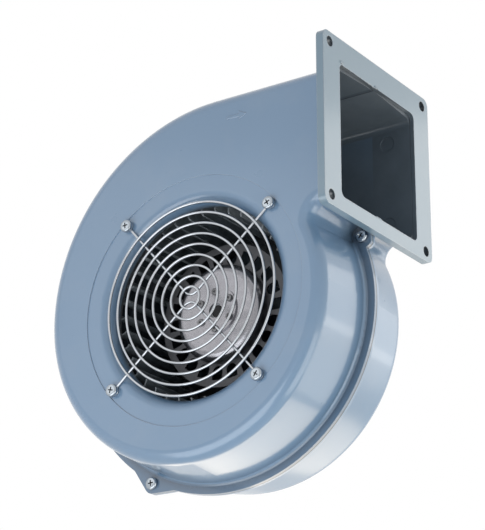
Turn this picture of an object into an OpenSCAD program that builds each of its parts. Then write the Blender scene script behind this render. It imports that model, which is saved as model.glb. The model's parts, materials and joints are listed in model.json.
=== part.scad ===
// Single-inlet centrifugal blower with a die-cast scroll housing, a wire inlet
// guard and a forward-curved impeller on an external-rotor direct-current motor.
//
// Modelling frame: the fan turns about z, the inlet faces +z, the outlet +x,
// and z = 0 is the plane where the two housing halves meet. in_place() stands
// the finished pieces up with the origin at the centre of the outlet flange.

/* [Housing] */
// Depth of the closed housing over both flat sides
housing_depth = 94; // [90:1:104]
// Thickness of the cast walls
wall = 2.5; // [2:0.25:3]
// Rounding of the outer edges between the flat sides and the scroll wall
edge_r = 8; // [6:0.5:9]
// Draft of the scroll wall, in degrees
draft = 3.5; // [2:0.5:4]
// Radius of the first scroll arc, at the tongue
arc_r1 = 88.5; // [88:0.5:91]
// Radius of the second scroll arc, towards the bottom
arc_r2 = 98.5; // [96:0.5:100]
// Radius of the third scroll arc, round the lower left
arc_r3 = 109; // [106:0.5:111]
// Radius of the fourth scroll arc, up to the outlet duct
arc_r4 = 126.5; // [125:0.5:128]
// Radius of the hollow between the scroll and the outlet duct
notch_r = 7; // [6:0.25:7.5]
// Height of the outlet duct's lower wall over the fan axis
duct_bottom = 40.8; // [39:0.2:42]
// How far the joint rim stands out of the scroll wall
rim_w = 6.5; // [5:0.5:7]
// Thickness of one half of the joint rim
rim_t = 2.4; // [2:0.2:3.4]
// Radius of the blend between the rim and the wall
rim_blend = 2.5; // [1.5:0.25:3]
// Radius of the screw lugs on the rim
lug_r = 6.2; // [5.8:0.1:7.2]

/* [Outlet flange] */
// Distance from the fan axis to the flange face
flange_x = 105.7; // [104:0.1:116]
// Thickness of the flange
flange_t = 5; // [4:0.5:7]
// Width of the flange along the fan axis
flange_w = 126; // [124:1:140]
// Height of the flange
flange_h = 112; // [110:1:122]
// Height of the flange centre over the fan axis
flange_up = 90; // [89:0.5:91]
// Outer corner radius of the flange
flange_corner = 5; // [3:0.5:8]
// Corner radius of the flange opening
opening_corner = 4; // [3:0.5:8]
// Distance of the flange holes from the flange's sides
hole_edge_w = 7.5; // [6.5:0.25:8.5]
// Distance of the flange holes from the flange's top and bottom
hole_edge_h = 6.5; // [5.5:0.25:7]
// Radius of the flange holes
flange_hole_r = 3.25; // [2.5:0.25:3.5]
// How deep the duct ends sit in the back of the flange
socket_deep = 2; // [1:0.25:3]

/* [Inlet] */
// Radius of the narrowest part of the inlet nozzle
throat_r = 61.7; // [60:0.1:63]
// Radius of the nozzle's rounded lip
nozzle_r = 8.3; // [7:0.1:9]
// Straight length at the inner end of the nozzle
nozzle_lip = 2; // [1:0.25:2.5]
// Radius of the sunken ring round the inlet
recess_r = 79.2; // [79.2:0.1:80]
// Depth of the sunken ring
recess_deep = 0.6; // [0.4:0.1:1.5]

/* [Inlet guard] */
// Radius of the guard wire
wire_r = 0.8; // [0.7:0.05:1.2]
// Number of wire rings
rings = 9; // [6:1:9]
// Radius of the innermost ring
ring_first = 7; // [6.5:0.5:8]
// Step from one ring to the next
ring_step = 6.75; // [6:0.05:6.8]
// Radius of the circle through the four guard screws
guard_screw_r = 75; // [74:0.25:75.5]
// Turn of the guard about the fan axis, in degrees
guard_turn = -4.6; // [-10:0.2:10]
// Bend radius of the stays at the middle of the guard
stay_bend = 6; // [5:0.5:8]

/* [Impeller] */
// Outside diameter of the blades
impeller_d = 140; // [136:1:144]
// Radius at the inner edges of the blades
blade_in_r = 58.3; // [57:0.1:60]
// Length of the impeller along the axis
impeller_l = 60; // [54:1:62]
// Number of blades
blades = 38; // [30:1:44]
// Thickness of a blade
blade_t = 0.8; // [0.6:0.1:1]
// Radius of the curve of a blade
blade_curve = 8; // [7:0.5:12]
// Gap between the nozzle and the impeller's front ring
nozzle_gap = 1.5; // [1:0.25:3]
// Thickness of the impeller's sheet metal
sheet = 1; // [0.8:0.1:1.2]
// Number of cooling holes in the back plate
cooling_holes = 22; // [12:1:22]
// Half width of a cooling hole
cooling_hole_r = 3.7; // [2.5:0.1:3.8]
// Outside radius of the flat band with the cooling holes
band_r = 46; // [45:0.5:48]

/* [Motor] */
// Radius of the rotor can
rotor_r = 30.4; // [29:0.1:30.6]
// Length of the rotor can
rotor_l = 50; // [48:0.5:51]
// Thickness of the rotor can
can_t = 1.4; // [1:0.1:1.6]
// Thickness of the magnet ring
magnet_t = 2.5; // [2:0.1:3]
// Gap between the magnets and the stator core
air_gap = 0.6; // [0.4:0.1:1]
// Length of the stator core
core_l = 20; // [14:1:22]
// Number of stator teeth
teeth = 9; // [6:3:9]
// Radius of the motor shaft
shaft_r = 4; // [3:0.25:4.25]
// Outside radius of the ball bearings
bearing_r = 11; // [10.5:0.25:11.5]
// Width of the ball bearings
bearing_w = 7; // [6:0.5:8]

/* [Fasteners] */
// Radius of the screw shanks
screw_r = 2; // [1.75:0.25:2]
// Radius of the screw heads
head_r = 4; // [3.5:0.1:4.2]
// Height of the screw heads
head_h = 2.6; // [2:0.1:3]

/* [Hidden] */
$fn = 64;

half = housing_depth / 2;            // each half reaches this far from the joint plane
fit_gap = 0.15;                      // clearance where one cast piece sits in another
sink = 0.03;                         // how far a straight line runs into the arc that it meets
press_gap = 0.01;                    // what is left between pieces pressed together
run_gap = 0.02;                      // clearance of the balls in their grooves
big = 400;

function polar(r, a) = [r * cos(a), r * sin(a)];

// Scroll: four arcs that run into one another, then the straight duct
arc_c2 = [-3, -5];
arc_c1 = arc_c2 + [arc_r2 - arc_r1, 0];
arc_c3 = arc_c2 + [0, arc_r3 - arc_r2];
arc_c4 = arc_c3 + [arc_r4 - arc_r3, 0];
duct_top = arc_c4.y + arc_r4;
notch_far = arc_r1 + notch_r;
notch_a = asin((duct_bottom - notch_r - arc_c1.y) / notch_far);
notch_c = arc_c1 + polar(notch_far, notch_a);
flange_back = flange_x - flange_t;
duct_end = flange_back + socket_deep;
rim_end = flange_back - fit_gap;
hole_span_w = flange_w - 2 * hole_edge_w;
hole_span_h = flange_h - 2 * hole_edge_h;
core_in = edge_r * 1.4 + 3;          // the side plates' middle starts this far inside the wall
notch_deep = 38;                     // the notch's form reaches this far into both
tongue_end = asin((duct_bottom + core_in + 10 - arc_c1.y) / arc_r1);
arrow_at = [arc_c4.x + 11.5, duct_top - 19.5];
arrow_l = 14;
arrow_w = 5.2;
arrow_line = 1.6;
arrow_high = 0.5;
ejector_r = 5;
ejector_deep = 0.3;
ejector_at = [[flange_x - 19.7, duct_top - 18], [flange_x - 20.2, duct_bottom + 17.7]];
guard_boss_r = 4.5;
guard_boss_h = 5;
guard_screw_l = 9;

// Corner of the wall section: where the rounded edge turns about
bend_y = half - edge_r;
bend_x = -bend_y * tan(draft) - edge_r / cos(draft);

// Depths along the fan axis, all from the inlet face inwards
sunk_face = half - recess_deep;
nozzle_end = sunk_face - nozzle_r - nozzle_lip;
impeller_front = nozzle_end - nozzle_gap;
impeller_back = impeller_front - impeller_l;
impeller_r = impeller_d / 2;
blade_front = impeller_front - sheet;
blade_back = impeller_back + sheet;
ring_in_r = throat_r + 0.8;
blade_centre = impeller_r - 0.85 * blade_curve;

// The back plate: a drawn cap over the rotor, a flat band and a cone to the blades
cap_top = 20;
cap_edge = 6;
cap_r = rotor_r + 5 * press_gap + sheet;
band_z = cap_top - 10;
plateau_r = 15;
plateau_h = 1.2;
cap_hole_r = 4.8;
cone_r = blade_in_r - 1;
hub_screw_circle = 12;
hub_screw_r = 1.25;
hub_head_r = 2.3;
hub_head_h = 1.5;

// Motor, from the rotor's front inwards
can_top = cap_top - sheet - press_gap;
can_end = can_top - rotor_l;
can_in = rotor_r - can_t;
magnet_in = can_in - press_gap - magnet_t;
core_r = magnet_in - air_gap;
magnet_over = 2;
core_back = -24;
core_front = core_back + core_l;
tube_r = bearing_r + 2.5;
tube_foot_r = tube_r + 2;
front_bearing_z = 0;
tube_top = front_bearing_z + bearing_w;
motor_flange_t = 4;
motor_flange_r = 34;
motor_flange_z = wall - half + motor_flange_t;
seat_in_r = 28;
motor_screw_circle = 31;
rear_bearing_z = 3.6 - half;
tube_bore_r = bearing_r - 2;
race_out_r = bearing_r - (bearing_r - shaft_r) * 0.25;
race_in_r = shaft_r + (bearing_r - shaft_r) * 0.27;
ball_circle = (race_out_r + race_in_r) / 2;
ball_r = (bearing_r - shaft_r) * 0.27;
balls = 7;
insulator_t = 0.6;
winding_over = 4;
tooth_w = 5;
yoke_t = 3;
tooth_foot_t = 1.6;
board_t = 1.6;
board_r = 27;
board_post_h = 3;
board_post_circle = 23;
board_z = motor_flange_z + board_post_h;
circlip_t = 0.8;
circlip_z = rear_bearing_z - circlip_t;
grommet_at = [0, -21.5];
grommet_hole_r = 3.6;
grommet_bore_r = 2.2;

// Screw places
lug_out = 7.4;
lug_spread = 14;
lug_a4 = 152;
lug_a3 = 241;
lug_points = [arc_c4 + polar(arc_r4 + lug_out, lug_a4), arc_c3 + polar(arc_r3 + lug_out, lug_a3),
              [rim_end - 20, duct_top + 6.5], notch_c];
guard_points = [for (i = [0 : 3]) polar(guard_screw_r, 45 + 90 * i + guard_turn)];
hub_points = [for (i = [0 : 5]) polar(hub_screw_circle, 60 * i + 30)];
motor_points = [for (i = [0 : 3]) polar(motor_screw_circle, 45 + 90 * i)];

// ---- Shared forms ---------------------------------------------------------

module in_place() translate([-flange_x, 0, -flange_up]) rotate([90, 0, 0]) children();

// Drawn in height and depth, and extruded towards the outlet
module facing_outlet() rotate([90, 0, 90]) children();

module ring(r_out, r_in, h) {
    difference() {
        cylinder(r = r_out, h = h);
        translate([0, 0, -1]) cylinder(r = r_in, h = h + 2);
    }
}

module rounded_rect(w, h, r) {
    square([w - 2 * r, h], center = true);
    square([w, h - 2 * r], center = true);
    for (x = [-1, 1], y = [-1, 1]) translate([x * (w / 2 - r), y * (h / 2 - r)]) circle(r);
}

module at_points(points) for (p = points) translate([p.x, p.y, 0]) children();

function dome_r(r, h) = (r * r + h * h) / (2 * h);

// Pan-head screw standing on z = 0, its shank going down
module pan_screw(shank_r, shank_l, r, h) {
    difference() {
        union() {
            rotate_extrude() intersection() {
                translate([0, h - dome_r(r, h)]) circle(dome_r(r, h));
                square([r, h]);
            }
            translate([0, 0, -shank_l]) cylinder(r = shank_r, h = shank_l + h * 0.3);
        }
        for (a = [0, 90]) rotate(a)
            translate([-r * 0.55, -r * 0.11, h * 0.45]) cube([r * 1.1, r * 0.22, h]);
    }
}

// ---- Housing --------------------------------------------------------------

// Filled section through one half, seen along the wall: across is the distance
// out of the wall, up is the height over the joint plane. inset moves it inwards.
module form_section(inset, low, inwards = core_in + 2) {
    lean = [cos(draft), sin(draft)];
    bend = [bend_x, bend_y];
    polygon([[-low * tan(draft) - inset / cos(draft), low], bend + (edge_r - inset - sink) * lean, bend,
             [bend_x, half - inset], [-inwards, half - inset], [-inwards, low]]);
    translate(bend) circle(edge_r - inset);
}

// Joint rim with its blend into the wall, in the same section
module rim_section() {
    turn = [rim_blend / cos(draft) - (rim_t + rim_blend) * tan(draft), rim_t + rim_blend];
    translate([-wall / 2, 0]) square([rim_w + wall / 2, rim_t]);
    difference() {
        translate([-wall / 2, rim_t / 2]) square([turn.x + wall / 2, turn.y - rim_t / 2]);
        translate(turn - [sink, sink]) circle(rim_blend);
    }
}

module along_arc(centre, r, from, to)
    translate([centre.x, centre.y, 0]) rotate(from) rotate_extrude(angle = to - from, $fn = 128)
        translate([r, 0]) children();

// facing = 0 for the upper wall, 1 for the lower wall, which faces the other way
module along_duct(x, x_end, up, facing)
    translate([x, up, 0]) facing_outlet() linear_extrude(x_end - x) mirror([facing, 0]) children();

// Solid form of one half: four scroll arcs and the duct, all rounded at the flat side
module scroll_form(inset, low, x_end) {
    along_arc(arc_c1, arc_r1, 0, tongue_end) form_section(inset, low);
    along_arc(arc_c2, arc_r2, -90, 0) form_section(inset, low);
    along_arc(arc_c3, arc_r3, -180, -90) form_section(inset, low);
    along_arc(arc_c4, arc_r4, 90, 180) form_section(inset, low);
    translate([arc_c4.x, 0, 0]) facing_outlet() linear_extrude(x_end - arc_c4.x) duct_section(inset, low);
    translate([0, 0, low]) linear_extrude(half - inset - low) core_2d();
}

// Half of the duct, seen along it: across is the height over the axis, up the depth
module duct_section(inset, low) {
    translate([duct_top, 0]) form_section(inset, low);
    translate([duct_bottom, 0]) mirror([1, 0]) form_section(inset, low);
    translate([duct_bottom + core_in, low])
        square([duct_top - duct_bottom - 2 * core_in, half - inset - low]);
}

module joint_rim() {
    along_arc(arc_c1, arc_r1, 0, notch_a) rim_section();
    along_arc(arc_c2, arc_r2, -90, 0) rim_section();
    along_arc(arc_c3, arc_r3, -180, -90) rim_section();
    along_arc(arc_c4, arc_r4, 90, 180) rim_section();
    along_duct(arc_c4.x, rim_end, duct_top, 0) rim_section();
    along_duct(notch_c.x, rim_end, duct_bottom, 1) rim_section();
}

// Middle of a side plate, all inside the rounded edges
module core_2d() {
    quarter(arc_c1, arc_r1 - core_in, 1, 1);
    quarter(arc_c2, arc_r2 - core_in, 1, -1);
    quarter(arc_c3, arc_r3 - core_in, -1, -1);
    quarter(arc_c4, arc_r4 - core_in, -1, 1);
    translate(arc_c2) square([max(arc_c4.x, arc_c1.x) - arc_c2.x, duct_bottom + core_in + 2 - arc_c2.y]);
}

module quarter(c, r, sx, sy)
    translate(c) intersection() {
        circle(r, $fn = 128);
        translate([sx < 0 ? -big : 0, sy < 0 ? -big : 0]) square(big);
    }

// A lug on an arc of the wall, with straight flanks that leave its circle and end in the rim
module lug_2d(c, r, a) {
    foot = polar(r + rim_w / 2, lug_spread) - [r + lug_out, 0];
    lean = atan2(foot.y, foot.x) - acos(lug_r / norm(foot));
    p = polar(r + lug_out, a);
    translate(c) {
        translate(p) circle(lug_r);
        polygon([p + polar(lug_r - sink, a + lean), p + polar(lug_r - sink, a - lean),
                 polar(r + rim_w / 2, a - lug_spread), polar(r - 1, a - lug_spread),
                 polar(r - 1, a + lug_spread), polar(r + rim_w / 2, a + lug_spread)]);
    }
}

// The lug on the duct's straight top
module top_lug_2d() {
    p = lug_points[2];
    translate(p) circle(lug_r);
    polygon([p + [sink - lug_r, 0], p + [lug_r - sink, 0], [p.x + 2.6 * lug_r, duct_top], [p.x - 2.6 * lug_r, duct_top]]);
}

// One half of the housing, hollow, with its rim and lugs. The children are cut from the side.
module half_shell() {
    difference() {
        union() {
            scroll_form(0, 0, duct_end);
            joint_rim();
            linear_extrude(rim_t) intersection() {
                union() {
                    lug_2d(arc_c4, arc_r4, lug_a4);
                    lug_2d(arc_c3, arc_r3, lug_a3);
                    top_lug_2d();
                    translate(notch_c) circle(notch_r + 0.4);
                }
                translate([-big, -big]) square([big + rim_end - 0.4, 2 * big]);
            }
            notch_form();
        }
        scroll_form(wall, -1, duct_end + 1);
        translate([0, 0, half - wall - 1]) linear_extrude(wall + 2) children();
    }
}

// Rounds the hollow corner between the scroll and the duct. Its arc runs into both a little.
module notch_form() {
    far = arc_r1 + notch_r - sink;
    up = duct_bottom - notch_r + sink - arc_c1.y;
    lean = asin(up / far);
    translate([arc_c1.x + far * cos(lean), arc_c1.y + up, 0]) rotate(90)
        rotate_extrude(angle = 92 + lean, $fn = 128)
            translate([notch_r, 0]) mirror([1, 0]) form_section(0, 0, notch_deep);
}

module lug_holes()
    at_points(lug_points) translate([0, 0, -1]) cylinder(r = screw_r + fit_gap, h = rim_t + 2);

module front_shell() {
    color("#8ea6bf") difference() {
        union() {
            half_shell() circle(recess_r, $fn = 128);
            inlet_nozzle();
            translate([arrow_at.x, arrow_at.y, half - 0.5]) linear_extrude(0.5 + arrow_high) arrow_2d();
        }
        lug_holes();
        at_points(guard_points) translate([0, 0, sunk_face - guard_screw_l]) cylinder(r = screw_r, h = guard_screw_l + 3);
    }
}

// Shows which way the air leaves
module arrow_2d() {
    neck = arrow_l - arrow_w;
    translate([0, -arrow_line / 2]) square([neck + 1, arrow_line]);
    polygon([[neck, -arrow_w / 2], [arrow_l, 0], [neck, arrow_w / 2]]);
}

// The sunken ring, the rounded nozzle and the bosses for the guard screws
module inlet_nozzle() {
    turn_z = sunk_face - nozzle_r;
    mouth_r = throat_r + nozzle_r;
    rotate_extrude($fn = 128) {
        translate([mouth_r, sunk_face - wall]) square([recess_r + 2 - mouth_r, wall]);
        translate([mouth_r, turn_z]) intersection() {
            difference() {
                circle(nozzle_r);
                circle(nozzle_r - wall);
            }
            translate([-nozzle_r, 0]) square([nozzle_r, nozzle_r]);
        }
        translate([throat_r, nozzle_end]) square([wall, nozzle_lip]);
    }
    at_points(guard_points) translate([0, 0, sunk_face - wall - guard_boss_h])
        cylinder(r = guard_boss_r, h = guard_boss_h + wall / 2);
}

module rear_shell() {
    color("#8ea6bf") difference() {
        union() {
            mirror([0, 0, 1]) half_shell() circle(seat_in_r, $fn = 128);
        }
        mirror([0, 0, 1]) lug_holes();
        at_points(motor_points) translate([0, 0, -half - 1]) cylinder(r = screw_r + fit_gap, h = wall + 2);
        at_points(ejector_at) translate([0, 0, wall - half - ejector_deep]) cylinder(r = ejector_r, h = ejector_deep + 1);
    }
}

module outlet_flange() {
    inner_h = duct_top - duct_bottom - 2 * wall;
    color("#b4c5cd") difference() {
        translate([flange_back, flange_up, 0]) facing_outlet() linear_extrude(flange_t)
            difference() {
                rounded_rect(flange_h, flange_w, flange_corner);
                for (h = [-1, 1], w = [-1, 1])
                    translate([h * hole_span_h / 2, w * hole_span_w / 2]) circle(flange_hole_r);
                translate([(duct_top + duct_bottom) / 2 - flange_up, 0])
                    rounded_rect(inner_h, housing_depth - 2 * wall, opening_corner);
            }
        translate([flange_back - 1, 0, 0]) facing_outlet()
            linear_extrude(socket_deep + 1 + fit_gap)
                for (side = [0, 1]) mirror([0, side]) duct_section(-fit_gap, 0);
    }
}

// ---- Inlet guard ----------------------------------------------------------

stay_z = sunk_face + wire_r + 0.02;
ring_z = stay_z + 2 * wire_r - 0.25;
eyelet_r = screw_r + wire_r + 0.1;

module inlet_guard() {
    color("#c8ccd0") {
        for (k = [0 : rings - 1]) translate([0, 0, ring_z])
            rotate_extrude($fn = 96) translate([ring_first + k * ring_step, 0]) circle(wire_r, $fn = 24);
        for (turn = [0, 180]) rotate(turn + guard_turn) stay();
    }
}

// One bent wire: eyelet, leg, bend at the middle, leg, eyelet
module stay() {
    leg_end = guard_screw_r - eyelet_r;
    translate([0, 0, stay_z]) {
        for (a = [45, 135]) rotate(a) {
            translate([stay_bend, 0, 0]) rotate([0, 90, 0])
                cylinder(r = wire_r, h = leg_end - stay_bend, $fn = 24);
            translate([guard_screw_r, 0, 0]) rotate_extrude()
                translate([eyelet_r, 0]) circle(wire_r, $fn = 24);
        }
        translate([0, stay_bend * sqrt(2), 0]) rotate(225) rotate_extrude(angle = 90)
            translate([stay_bend, 0]) circle(wire_r, $fn = 24);
    }
}

module guard_screws() {
    color("#d4d6d8") at_points(guard_points) translate([0, 0, stay_z + wire_r + 0.01])
        pan_screw(screw_r - press_gap, guard_screw_l, head_r, head_h);
}

// ---- Housing fasteners ----------------------------------------------------

nut_h = 3.2;
module housing_screws() {
    color("#d4d6d8") at_points(lug_points) translate([0, 0, rim_t + 0.01])
        pan_screw(screw_r, 2 * rim_t + nut_h + 1.5, head_r, head_h);
}

module housing_nuts() {
    color("#d4d6d8") at_points(lug_points) translate([0, 0, -rim_t - nut_h - 0.01])
        linear_extrude(nut_h) difference() {
            circle(4, $fn = 6);
            circle(screw_r + press_gap);
        }
}

// ---- Motor, fixed side ----------------------------------------------------

// Round plate that closes the rear shell and carries the bearing tube
module motor_flange() {
    boss_z = -half;
    color("#a9b0b6") difference() {
        union() {
            translate([0, 0, wall - half + 0.01]) cylinder(r = motor_flange_r, h = motor_flange_t);
            translate([0, 0, boss_z]) cylinder(r = seat_in_r - fit_gap, h = wall + 1);
            translate([0, 0, boss_z]) cylinder(r = tube_foot_r, h = core_back - boss_z);
            translate([0, 0, boss_z]) cylinder(r = tube_r, h = tube_top - boss_z);
            for (a = [30, 150, 270]) rotate(a) translate([board_post_circle, 0, motor_flange_z - 1])
                cylinder(r = 2, h = board_post_h + 1);
        }
        translate([0, 0, boss_z - 1]) cylinder(r = tube_bore_r, h = housing_depth);
        translate([0, 0, boss_z - 1]) cylinder(r = bearing_r, h = rear_bearing_z + bearing_w - boss_z + 1);
        translate([0, 0, front_bearing_z]) cylinder(r = bearing_r, h = bearing_w + 1);
        at_points(motor_points) translate([0, 0, boss_z - 1]) cylinder(r = screw_r, h = 20);
        at_points([grommet_at]) translate([0, 0, boss_z - 1]) cylinder(r = grommet_hole_r, h = 12);
    }
}

module motor_screws() {
    color("#d4d6d8") mirror([0, 0, 1]) at_points(motor_points) translate([0, 0, half + 0.01])
        pan_screw(screw_r - press_gap, wall + motor_flange_t, head_r, head_h);
}

module at_bearings() for (z = [front_bearing_z, rear_bearing_z]) translate([0, 0, z]) children();

module bearing_outer_rings() {
    color("#b8bcc0") at_bearings() rotate_extrude() difference() {
        translate([race_out_r, 0]) square([bearing_r - press_gap - race_out_r, bearing_w]);
        translate([ball_circle, bearing_w / 2]) circle(ball_r + run_gap, $fn = 32);
    }
}

module bearing_inner_rings() {
    color("#b8bcc0") at_bearings() rotate_extrude() difference() {
        translate([shaft_r + press_gap, 0]) square([race_in_r - shaft_r - press_gap, bearing_w]);
        translate([ball_circle, bearing_w / 2]) circle(ball_r + run_gap, $fn = 32);
    }
}

module bearing_balls() {
    color("#d8dadc") at_bearings() for (i = [0 : balls - 1]) rotate(360 * i / balls)
        translate([ball_circle, 0, bearing_w / 2]) sphere(r = ball_r, $fn = 32);
}

module stator_core() {
    color("#6f757a") translate([0, 0, core_back + 0.01]) linear_extrude(core_l - 0.01) difference() {
        union() {
            circle(tube_r + press_gap + yoke_t);
            for (i = [0 : teeth - 1]) rotate(360 * i / teeth) {
                translate([tube_r + 1, -tooth_w / 2]) square([core_r - tube_r - 2, tooth_w]);
                intersection() {
                    difference() {
                        circle(core_r);
                        circle(core_r - tooth_foot_t);
                    }
                    polygon([[0, 0], polar(big, 150 / teeth), polar(big, -150 / teeth)]);
                }
            }
        }
        circle(tube_r + press_gap);
    }
}

// What lies round one tooth between two distances and two thicknesses
module round_tooth(t_in, t_out, over_in, over_out, r_from, r_to) {
    for (i = [0 : teeth - 1]) rotate(360 * i / teeth) difference() {
        translate([r_from, -tooth_w / 2 - t_out, core_back - over_out])
            cube([r_to - r_from, tooth_w + 2 * t_out, core_l + 2 * over_out]);
        translate([r_from - 1, -tooth_w / 2 - t_in, core_back - over_in])
            cube([r_to - r_from + 2, tooth_w + 2 * t_in, core_l + 2 * over_in]);
    }
}

winding_from = tube_r + yoke_t + 1.2;
winding_to = core_r - tooth_foot_t - 0.4;
winding_t = insulator_t + 1.5;

module winding_insulators() {
    color("#e8e4da") round_tooth(0.02, insulator_t, 0.02, insulator_t, winding_from, winding_to);
}

module stator_windings() {
    color("#b8733a") round_tooth(insulator_t + 0.02, winding_t, insulator_t + 0.02, winding_over,
                                 winding_from + 0.3, winding_to - 0.3);
}

module circuit_board() {
    color("#2f6b46") {
        translate([0, 0, board_z + 0.01]) ring(board_r, tube_foot_r + 0.3, board_t);
        for (a = [80, 100, 200, 220]) rotate(a)
            translate([19, -2, board_z + board_t / 2]) cube([4, 4, board_t / 2 + 1.6]);
        for (a = [0, 330]) rotate(a) translate([22, 0, board_z + board_t / 2])
            cylinder(r = 2, h = board_t / 2 + 2.4);
    }
}

// Rubber sleeve in the cable opening of the motor flange
module cable_grommet() {
    color("#202224") at_points([grommet_at]) translate([0, 0, -half]) difference() {
        union() {
            translate([0, 0, -1.5]) cylinder(r = grommet_hole_r + 1.2, h = 1.49);
            translate([0, 0, -1.5]) cylinder(r = grommet_hole_r - 0.02, h = wall + motor_flange_t + 1.5);
        }
        translate([0, 0, -3]) cylinder(r = grommet_bore_r, h = 14);
    }
}

// ---- Turning side ---------------------------------------------------------

module motor_shaft() {
    end_z = circlip_z - 1.2;
    color("#c4c8cc") difference() {
        translate([0, 0, end_z]) cylinder(r = shaft_r, h = can_top - end_z);
        translate([0, 0, circlip_z - 0.02]) ring(shaft_r + 1, shaft_r - 0.5, circlip_t + 0.03);
    }
}

module shaft_circlip() {
    color("#3a3d40") translate([0, 0, circlip_z]) linear_extrude(circlip_t - 0.02) difference() {
        circle(shaft_r + 2);
        circle(shaft_r - 0.5 + press_gap);
        polygon([[0, 0], polar(20, 60), polar(20, 120)]);
    }
}

module rotor_can() {
    edge = cap_edge - sheet;
    color("#9aa0a6") difference() {
        union() {
            rotate_extrude($fn = 96) {
                translate([rotor_r - can_t, can_end]) square([can_t, rotor_l - edge]);
                translate([rotor_r - edge, can_top - edge]) intersection() {
                    difference() {
                        circle(edge);
                        circle(edge - can_t);
                    }
                    square(edge);
                }
                translate([shaft_r + press_gap, can_top - can_t]) square([rotor_r - edge - shaft_r, can_t]);
            }
            translate([0, 0, tube_top + 1.5]) ring(8, shaft_r + press_gap, can_top - can_t / 2 - tube_top - 1.5);
            translate([0, 0, tube_top + 0.02]) ring(race_in_r, shaft_r + press_gap, 4);
        }
        at_points(hub_points) translate([0, 0, can_top - 5]) cylinder(r = hub_screw_r + press_gap, h = 10, $fn = 24);
    }
}

module magnet_ring() {
    color("#35383c") translate([0, 0, core_back - magnet_over])
        ring(can_in - press_gap, magnet_in, core_l + 2 * magnet_over);
}

module impeller_back_plate() {
    edge = cap_edge;
    edge_z = cap_top - edge;
    color("#a4abb2") difference() {
        rotate_extrude($fn = 128) {
            translate([cap_hole_r, cap_top - sheet]) square([plateau_r - cap_hole_r, sheet + plateau_h]);
            translate([plateau_r - 1, cap_top - sheet]) square([cap_r - edge - plateau_r + 1, sheet]);
            translate([cap_r - edge, edge_z]) intersection() {
                difference() {
                    circle(edge);
                    circle(edge - sheet);
                }
                square(edge);
            }
            translate([cap_r - sheet, band_z]) square([sheet, edge_z - band_z]);
            polygon([[cap_r - sheet / 2, band_z], [band_r - sheet, band_z], [cone_r - sheet, impeller_back],
                     [impeller_r, impeller_back], [impeller_r, impeller_back + sheet],
                     [cone_r, impeller_back + sheet], [band_r, band_z + sheet],
                     [cap_r - sheet / 2, band_z + sheet]]);
        }
        at_points(hub_points) translate([0, 0, 0]) cylinder(r = hub_screw_r + press_gap, h = 40, $fn = 24);
        for (i = [0 : cooling_holes - 1]) rotate(360 * i / cooling_holes) cooling_hole();
    }
}

// Opening in the flat band, round towards the rotor and straight outwards
module cooling_hole() {
    start = cap_r + 1 + cooling_hole_r;
    translate([0, 0, band_z - 1]) linear_extrude(sheet + 2) {
        translate([start, 0]) circle(cooling_hole_r, $fn = 32);
        translate([start, -cooling_hole_r]) square([band_r - 4.6 - start, 2 * cooling_hole_r]);
    }
}

module impeller_front_ring() {
    color("#a4abb2") translate([0, 0, blade_front + 0.01]) ring(impeller_r + 0.6, ring_in_r, sheet - 0.01);
}

module impeller_blades() {
    centre = blade_centre;
    color("#98a0a8") translate([0, 0, blade_back + 0.01]) for (i = [0 : blades - 1])
        rotate(360 * i / blades) linear_extrude(blade_front - blade_back - 0.01) intersection() {
            translate([centre, 0]) difference() {
                circle(blade_curve);
                circle(blade_curve - blade_t);
            }
            difference() {
                circle(impeller_r, $fn = 128);
                circle(blade_in_r, $fn = 128);
            }
            translate([blade_in_r - 10, 0]) square([30, 20]);
        }
}

// Balance weights clipped over the inner edge of the front ring, each between two blades
clip_t = 0.8;
clip_w = 5;
clip_l = 5;
clip_in = sqrt(pow(ring_in_r, 2) - pow(clip_w / 2, 2)) - press_gap;
clip_lean = atan((blade_curve - 1.2) / blade_centre) + 180 / blades;
module balance_clips() {
    color("#d0d4d6") for (gap = [round(blades * 0.05), round(blades * 0.53)])
        rotate(360 * gap / blades + clip_lean)
            translate([clip_in - clip_t, -clip_w / 2, blade_front - clip_t]) difference() {
                cube([clip_l, clip_w, sheet + 2 * clip_t]);
                translate([clip_t, -1, clip_t]) cube([clip_l, clip_w + 2, sheet + 0.02]);
            }
}

module hub_screws() {
    color("#d4d6d8") at_points(hub_points) translate([0, 0, cap_top + plateau_h + 0.01])
        pan_screw(hub_screw_r, plateau_h + sheet + can_t + 2, hub_head_r, hub_head_h, $fn = 32);
}

// ---- Pieces in place ------------------------------------------------------

in_place() front_shell();
in_place() rear_shell();
in_place() outlet_flange();
in_place() inlet_guard();
in_place() guard_screws();
in_place() housing_screws();
in_place() housing_nuts();
in_place() motor_flange();
in_place() motor_screws();
in_place() bearing_outer_rings();
in_place() bearing_balls();
in_place() bearing_inner_rings();
in_place() stator_core();
in_place() winding_insulators();
in_place() stator_windings();
in_place() circuit_board();
in_place() cable_grommet();
in_place() motor_shaft();
in_place() shaft_circlip();
in_place() rotor_can();
in_place() magnet_ring();
in_place() impeller_back_plate();
in_place() impeller_front_ring();
in_place() impeller_blades();
in_place() balance_clips();
in_place() hub_screws();
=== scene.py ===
# %% [markdown]
# # A centrifugal blower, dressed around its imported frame
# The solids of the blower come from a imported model, one object for each piece, in metres.
# This lesson gives them their finishes, adds the small worked details that castings and sheet
# metal pick up in a workshop, and lights the whole as a studio would.

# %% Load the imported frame
import json
import math
import bpy
import bmesh
from mathutils import Matrix, Vector


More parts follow.
